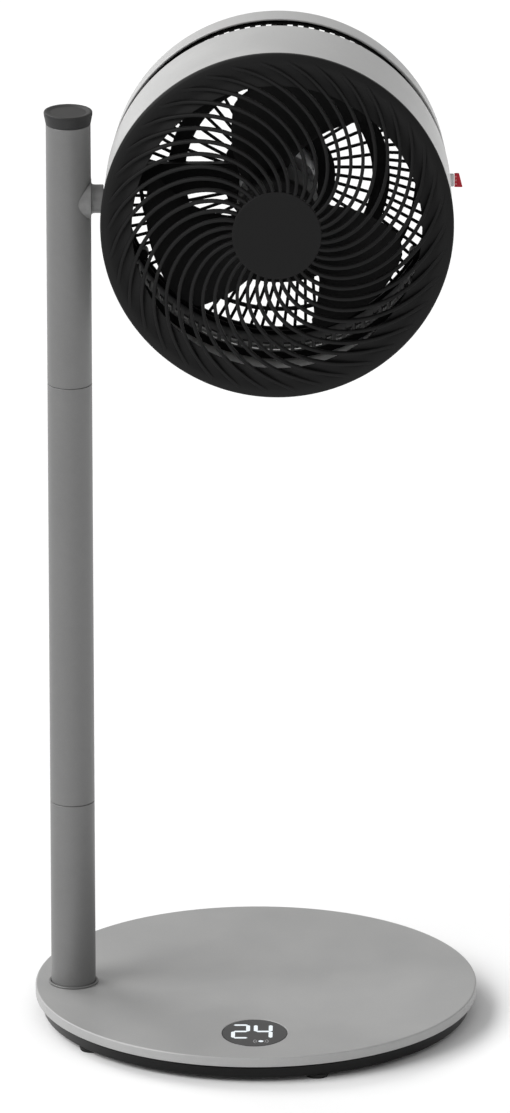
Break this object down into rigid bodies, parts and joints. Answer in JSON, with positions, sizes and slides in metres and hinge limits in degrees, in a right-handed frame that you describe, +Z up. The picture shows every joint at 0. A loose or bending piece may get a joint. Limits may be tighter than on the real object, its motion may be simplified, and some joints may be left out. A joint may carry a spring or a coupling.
{
  "type": "pedestal air circulator fan",
  "caption": "Drum-headed air circulator on a side arm, with an off-centre pole and a round swinging base.",
  "frame": {"origin": "on the floor under the centre of the round base, which is also the axis that the upper part swings about", "axes": "+Z up, -Y the way the head faces, +X to the head's own side, away from the pole"},
  "size_m": [0.33, 0.33, 0.7725],
  "materials": {
    "grey_paint": "satin",
    "pole_paint": "satin",
    "shell_paint": "satin metallic paint",
    "black_plastic": "fine texture",
    "gloss_black": "gloss",
    "rubber": "matt",
    "white_plastic": "moulded",
    "steel": "zinc plated",
    "cast_iron": "as cast",
    "board_green": "solder mask",
    "copper": "enamelled winding",
    "red_fabric": "woven"
  },
  "bodies": {
    "base": {"foot_1": "rubber", "foot_2": "rubber", "foot_3": "rubber", "foot_4": "rubber", "foot_5": "rubber", "base_pan": "gloss_black", "dc_inlet": "black_plastic", "counterweight": "cast_iron", "glide_ring": "black_plastic", "oscillation_motor": "steel"},
    "pinion": {"drive_pinion": "white_plastic"},
    "turntable": {"turntable_hub": "black_plastic", "ring_gear": "white_plastic", "swing_screw": "steel", "table_screw_1": "steel", "table_screw_2": "steel", "table_screw_3": "steel", "base_top": "grey_paint", "display_lens": "gloss_black", "display_board": "board_green", "pole_socket": "cast_iron", "pole_screw_1": "steel", "pole_screw_2": "steel", "pole_screw_3": "steel", "pole_ring": "pole_paint", "lower_tube": "pole_paint", "coupler_lower": "steel", "middle_tube": "pole_paint", "coupler_upper": "steel", "upper_tube": "pole_paint", "pole_cap": "black_plastic", "arm_anchor": "cast_iron", "tilt_shaft": "steel", "tilt_arm": "grey_paint", "friction_washer": "white_plastic", "tilt_nut": "steel"},
    "head": {"front_shell": "shell_paint", "rear_housing": "black_plastic", "rear_ring": "shell_paint", "rear_grille": "black_plastic", "housing_screw_1": "steel", "housing_screw_2": "steel", "housing_screw_3": "steel", "motor_screw_1": "steel", "motor_screw_2": "steel", "motor_screw_3": "steel", "cable_duct": "black_plastic", "front_grille": "black_plastic", "motor_can": "steel", "motor_end_plate": "steel", "bearing_rear": "steel", "bearing_front": "steel", "motor_stator": "copper", "motor_cover": "black_plastic", "tab_clip": "shell_paint", "red_tab": "red_fabric"},
    "rotor": {"propeller": "black_plastic", "propeller_nut": "black_plastic", "motor_shaft": "steel", "motor_rotor": "cast_iron"}
  },
  "joints": [
    {"name": "base_swing", "type": "hinge", "parent": "base", "child": "turntable", "pos_m": [0, 0, 0], "axis": [0, 0, 1], "range_deg": [-60, 60]},
    {"name": "pinion_spin", "type": "hinge", "parent": "base", "child": "pinion", "pos_m": [0.0376, 0, 0], "axis": [0, 0, 1], "range_deg": [-245, 245]},
    {"name": "head_tilt", "type": "hinge", "parent": "turntable", "child": "head", "pos_m": [0.01801, 0, 0.637], "axis": [-1, 0, 0], "range_deg": [-19, 86]},
    {"name": "fan_spin", "type": "hinge", "parent": "head", "child": "rotor", "pos_m": [0.01801, 0, 0.637], "axis": [0, -0.9976, 0.0698], "continuous": true}
  ],
  "couplings": [
    {"joint": "pinion_spin", "follows": "base_swing", "ratio": -4}
  ]
}
